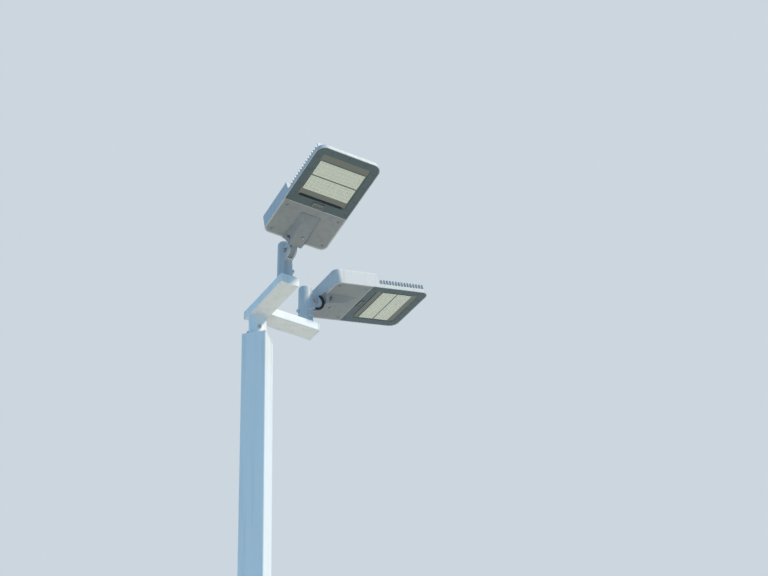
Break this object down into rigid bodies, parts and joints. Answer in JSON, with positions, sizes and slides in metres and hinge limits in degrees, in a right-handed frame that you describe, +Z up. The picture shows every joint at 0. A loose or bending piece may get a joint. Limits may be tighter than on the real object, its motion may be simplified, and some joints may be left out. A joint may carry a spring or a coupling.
{
  "type": "street light",
  "caption": "Square steel pole with a two-armed bracket, slip fitters and tilting LED area luminaires with finned heat sinks.",
  "frame": {"origin": "centre of the base plate's underside, at ground level", "axes": "+Z up along the pole; +X through the pole face between the two arms; the arms run out along X+Y and X-Y"},
  "size_m": [0.8998, 1.5196, 8.1668],
  "materials": {
    "pole_paint": "satin powder coat",
    "cast_paint": "fine textured powder coat",
    "frame_paint": "matt powder coat",
    "lens": "moulded polycarbonate",
    "latch_steel": "satin",
    "zinc_fixings": "zinc plated",
    "galvanised": "galvanised"
  },
  "bodies": {
    "mast": {"base_plate": "pole_paint", "pole_shaft": "pole_paint", "hand_hole_frame": "pole_paint", "hand_hole_cover": "pole_paint", "pole_top_plate": "pole_paint", "pole_tenon": "galvanised", "bracket_collar": "pole_paint", "collar_set_screws": "zinc_fixings", "bracket_arm_left": "pole_paint", "arm_end_cap_left": "pole_paint", "arm_tenon_left": "galvanised", "bracket_arm_right": "pole_paint", "arm_end_cap_right": "pole_paint", "arm_tenon_right": "galvanised"},
    "fitter_left": {"slip_fitter_left": "cast_paint", "fitter_set_screws_left": "zinc_fixings", "knuckle_bolt_left": "zinc_fixings"},
    "luminaire_left": {"knuckle_neck_left": "cast_paint", "driver_housing_left": "cast_paint", "driver_cover_left": "cast_paint", "cover_latch_left": "latch_steel", "heat_sink_left": "cast_paint", "lens_frame_left": "frame_paint", "lens_panel_front_left": "lens", "lens_panel_rear_left": "lens"},
    "fitter_right": {"slip_fitter_right": "cast_paint", "fitter_set_screws_right": "zinc_fixings", "knuckle_bolt_right": "zinc_fixings"},
    "luminaire_right": {"knuckle_neck_right": "cast_paint", "driver_housing_right": "cast_paint", "driver_cover_right": "cast_paint", "cover_latch_right": "latch_steel", "heat_sink_right": "cast_paint", "lens_frame_right": "frame_paint", "lens_panel_front_right": "lens", "lens_panel_rear_right": "lens"}
  },
  "joints": [
    {"name": "swivel_left", "type": "hinge", "parent": "mast", "child": "fitter_left", "pos_m": [0.19375, 0.19375, 7.8], "axis": [0, 0, 1], "range_deg": [-45, 45]},
    {"name": "tilt_left", "type": "hinge", "parent": "fitter_left", "child": "luminaire_left", "pos_m": [0.22627, 0.22627, 7.95], "axis": [0.7071, -0.7071, 0], "range_deg": [-58, 32]},
    {"name": "swivel_right", "type": "hinge", "parent": "mast", "child": "fitter_right", "pos_m": [0.19375, -0.19375, 7.8], "axis": [0, 0, 1], "range_deg": [-45, 45]},
    {"name": "tilt_right", "type": "hinge", "parent": "fitter_right", "child": "luminaire_right", "pos_m": [0.22627, -0.22627, 7.95], "axis": [-0.7071, -0.7071, 0], "range_deg": [-58, 32]}
  ]
}
